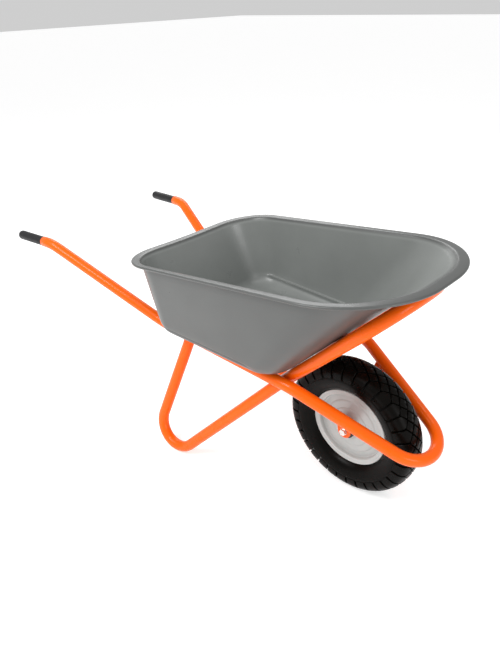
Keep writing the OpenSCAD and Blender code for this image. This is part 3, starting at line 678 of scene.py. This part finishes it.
def shader(name, color, rough, metallic=0.0, coat=0.0, spec=0.5, tint=(1.0, 1.0, 1.0),
           tone=0.06, rough_var=0.08, tone_scale=9.0, bump=0.03, bump_scale=400.0,
           glow=0.0, stretch=(1, 1, 1), inside=None):
    """Procedural surface: slow tone changes, uneven roughness, fine grain in the bump, and
    optionally painted light: a lighter copy of the colour where a mesh attribute marks it.
    """
    mat = bpy.data.materials.new(name)
    mat.use_nodes = True
    nt = mat.node_tree
    nt.nodes.clear()
    out = nt.nodes.new("ShaderNodeOutputMaterial")
    bsdf = nt.nodes.new("ShaderNodeBsdfPrincipled")
    nt.links.new(bsdf.outputs["BSDF"], out.inputs["Surface"])
    bsdf.inputs["Metallic"].default_value = metallic
    bsdf.inputs["Coat Weight"].default_value = coat
    bsdf.inputs["Coat Roughness"].default_value = 0.08
    bsdf.inputs["Specular IOR Level"].default_value = spec
    coord = nt.nodes.new("ShaderNodeTexCoord")
    mapping = nt.nodes.new("ShaderNodeMapping")
    mapping.inputs["Scale"].default_value = stretch
    nt.links.new(coord.outputs["Object"], mapping.inputs["Vector"])

    def noise(scale, detail=4.0, roughness=0.55):
        n = nt.nodes.new("ShaderNodeTexNoise")
        n.inputs["Scale"].default_value = scale
        n.inputs["Detail"].default_value = detail
        n.inputs["Roughness"].default_value = roughness
        nt.links.new(mapping.outputs["Vector"], n.inputs["Vector"])
        return n

    def ramp(src, a, b, lo=0.3, hi=0.7):
        r = nt.nodes.new("ShaderNodeValToRGB")
        r.color_ramp.elements[0].position = lo
        r.color_ramp.elements[1].position = hi
        r.color_ramp.elements[0].color = (*a, 1)
        r.color_ramp.elements[1].color = (*b, 1)
        nt.links.new(src, r.inputs["Fac"])
        return r

    dark = tuple(c * (1 - tone) for c in color)
    light = tuple(min(1, c * (1 + tone) * t) for c, t in zip(color, tint))
    slow = noise(tone_scale, 3.0)
    base = ramp(slow.outputs["Fac"], dark, light)
    color_out = base.outputs["Color"]
    # painted light: where the mesh attribute is 1 the base colour switches to a copy made lighter
    # by the given factor
    if inside:
        painted_light_colour = ramp(slow.outputs["Fac"],
                   *(tuple(c * inside * t for c in color) for t in (0.93, 1.07)))
        painted_light_mask = nt.nodes.new("ShaderNodeAttribute")
        painted_light_mask.attribute_name = "inside"
        mix = nt.nodes.new("ShaderNodeMix")
        mix.data_type = "RGBA"
        colour_a, colour_b, mixed = mix.inputs[6], mix.inputs[7], mix.outputs[2]
        nt.links.new(painted_light_mask.outputs["Fac"], mix.inputs["Factor"])
        nt.links.new(color_out, colour_a)
        nt.links.new(painted_light_colour.outputs["Color"], colour_b)
        color_out = mixed
    nt.links.new(color_out, bsdf.inputs["Base Color"])
    bsdf.inputs["Emission Color"].default_value = (1, 1, 1, 1)
    bsdf.inputs["Emission Strength"].default_value = glow
    patch = noise(tone_scale * 2.3, 4.0)
    lo_r, hi_r = max(0.02, rough - rough_var), min(1, rough + rough_var)
    rr = nt.nodes.new("ShaderNodeMapRange")
    rr.inputs["From Min"].default_value = 0.3
    rr.inputs["From Max"].default_value = 0.7
    rr.inputs["To Min"].default_value = lo_r
    rr.inputs["To Max"].default_value = hi_r
    nt.links.new(patch.outputs["Fac"], rr.inputs["Value"])
    nt.links.new(rr.outputs["Result"], bsdf.inputs["Roughness"])
    grain = noise(bump_scale, 3.0)
    bp = nt.nodes.new("ShaderNodeBump")
    bp.inputs["Strength"].default_value = bump
    bp.inputs["Distance"].default_value = 0.001
    nt.links.new(grain.outputs["Fac"], bp.inputs["Height"])
    nt.links.new(bp.outputs["Normal"], bsdf.inputs["Normal"])
    return mat


ORANGE = shader("orange_powder_coat", (0.95, 0.122, 0.002), 0.30, coat=0.16, spec=0.15,
                tone=0.02, tint=(1.0, 1.04, 1.0), bump=0.05, bump_scale=1400.0,
                tone_scale=7.0, rough_var=0.05)
# painted light: the tray's grey is coloured 2.7 times lighter on its inner skin than on the outer
# one
GREY = shader("grey_tray_paint", (0.078, 0.082, 0.079), 0.33, spec=0.60, tone=0.05,
              rough_var=0.06, tone_scale=5.0, bump=0.05, bump_scale=900.0, inside=2.7)
BLACK_GRIP = shader("grip_plastic", (0.008, 0.008, 0.009), 0.50, spec=0.35, tone=0.2,
                    bump=0.25, bump_scale=1200.0)
ZINC = shader("zinc_plate", (0.66, 0.66, 0.64), 0.28, metallic=1.0, tone=0.10,
              tone_scale=60.0, bump=0.06, bump_scale=900.0)
BEARING = shader("bearing_steel", (0.56, 0.57, 0.60), 0.22, metallic=1.0, tone=0.06,
                 tone_scale=80.0, bump=0.03, stretch=(1, 6, 1))
RIM_PAINT = shader("rim_lacquer", (0.47, 0.485, 0.475), 0.40, metallic=0.12, coat=0.10,
                   tone=0.06, tone_scale=12.0, bump=0.05, bump_scale=500.0)
HUB = shader("hub_nylon", (0.020, 0.020, 0.021), 0.50, tone=0.2, bump=0.15, bump_scale=500.0)
TYRE = shader("tyre_rubber", (0.0030, 0.0025, 0.0019), 0.30, tone=0.25, rough_var=0.08,
              tone_scale=18.0, bump=0.12, bump_scale=900.0, spec=0.07)
RUBBER = shader("soft_rubber", (0.018, 0.018, 0.018), 0.6, tone=0.2, bump=0.12, bump_scale=500.0)
CAP = shader("cap_plastic", (0.014, 0.014, 0.014), 0.4, tone=0.2, bump=0.08)
FLOOR_MAT = shader("studio_floor", (0.85, 0.85, 0.85), 0.85, tone=0.004, bump=0.01,
                   tone_scale=1.5, spec=0.1, glow=0.45)

SLOT_LOOK = {
    "frame_paint": ORANGE, "tray_paint": GREY, "grip_plastic": BLACK_GRIP,
    "zinc_steel": ZINC, "bearing_steel": BEARING, "rim_paint": RIM_PAINT,
    "hub_plastic": HUB, "tyre_rubber": TYRE, "soft_rubber": RUBBER, "cap_plastic": CAP,
}


def paint(obj, mat):
    obj.data.materials.clear()
    obj.data.materials.append(mat)


for sub in frame["record"]["subparts"]:
    paint(frame["nodes"][sub["node"]], SLOT_LOOK[sub["material_slot"]])


def place(obj, body, node, slot_name):
    paint(obj, SLOT_LOOK[slot_name])
    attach(obj, body)
    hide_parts(node)


place(main_tube(), "frame", "main_tube", "frame_paint")
place(leg_tube(), "frame", "leg_tube", "frame_paint")
place(tray(), "frame", "tray", "tray_paint")
place(grip(1), "frame", "grip_left", "grip_plastic")
place(grip(-1), "frame", "grip_right", "grip_plastic")
place(tyre(), "wheel", "tyre", "tyre_rubber")
place(rim(1), "wheel", "rim_half_left", "rim_paint")
place(rim(-1), "wheel", "rim_half_right", "rim_paint")


# ---- Stage ---------------------------------------------------------------

def stage_floor():
    bm = bmesh.new()
    bmesh.ops.create_grid(bm, x_segments=1, y_segments=1, size=30)
    mesh = bpy.data.meshes.new("floor")
    bm.to_mesh(mesh)
    bm.free()
    obj = bpy.data.objects.new("floor", mesh)
    obj.location.z = -0.0005
    bpy.context.collection.objects.link(obj)
    paint(obj, FLOOR_MAT)


def area_light(name, where, aim, size, power):
    data = bpy.data.lights.new(name, "AREA")
    data.shape = "RECTANGLE"
    data.size, data.size_y = size
    data.energy = power
    obj = bpy.data.objects.new(name, data)
    obj.location = where
    direction = Vector(aim) - Vector(where)
    obj.rotation_euler = direction.to_track_quat("-Z", "Y").to_euler()
    bpy.context.collection.objects.link(obj)


stage_floor()
area_light("left_softbox", (-1.2, -2.2, 2.6), (-0.3, 0, 0.4), (1.6, 1.0), 60)
area_light("rear_softbox", (-2.4, 1.6, 2.2), (-0.3, 0, 0.4), (2.0, 1.6), 30)
area_light("front_softbox", (3.2, -0.6, 1.6), (-0.1, 0, 0.4), (1.6, 1.4), 28)
area_light("strip", (0.2, -0.3, 3.0), (-0.2, -0.1, 0.4), (3.0, 0.25), 12)
world = bpy.data.worlds.new("studio")
world.use_nodes = True
world.node_tree.nodes["Background"].inputs["Color"].default_value = (1, 1, 1, 1)
world.node_tree.nodes["Background"].inputs["Strength"].default_value = 0.62
bpy.context.scene.world = world
bpy.context.scene.view_settings.view_transform = "Standard"

# ---- Camera --------------------------------------------------------------

FOCAL_PX, LONG_SIDE_PX, SENSOR = 580.0, 659.0, 36.0
cam_data = bpy.data.cameras.new("camera")
cam_data.sensor_width = SENSOR
cam_data.lens = FOCAL_PX / LONG_SIDE_PX * SENSOR
cam = bpy.data.objects.new("camera", cam_data)
bpy.context.collection.objects.link(cam)
yaw, pitch, roll = math.radians(134.83), math.radians(-30.07), math.radians(2.08)
look = Vector((math.cos(yaw) * math.cos(pitch), math.sin(yaw) * math.cos(pitch),
               math.sin(pitch)))
right = look.cross(Vector((0, 0, 1))).normalized()
up = right.cross(look)
turn = Matrix((right, up, -look)).transposed().to_4x4() @ Matrix.Rotation(-roll, 4, "Z")
cam.matrix_world = Matrix.Translation((0.6882, -1.0846, 1.2390)) @ turn
cam_data.clip_start, cam_data.clip_end = 0.05, 100
bpy.context.scene.camera = cam

# ---- Scene update ---------------------------------------------------------

bpy.context.view_layer.update()
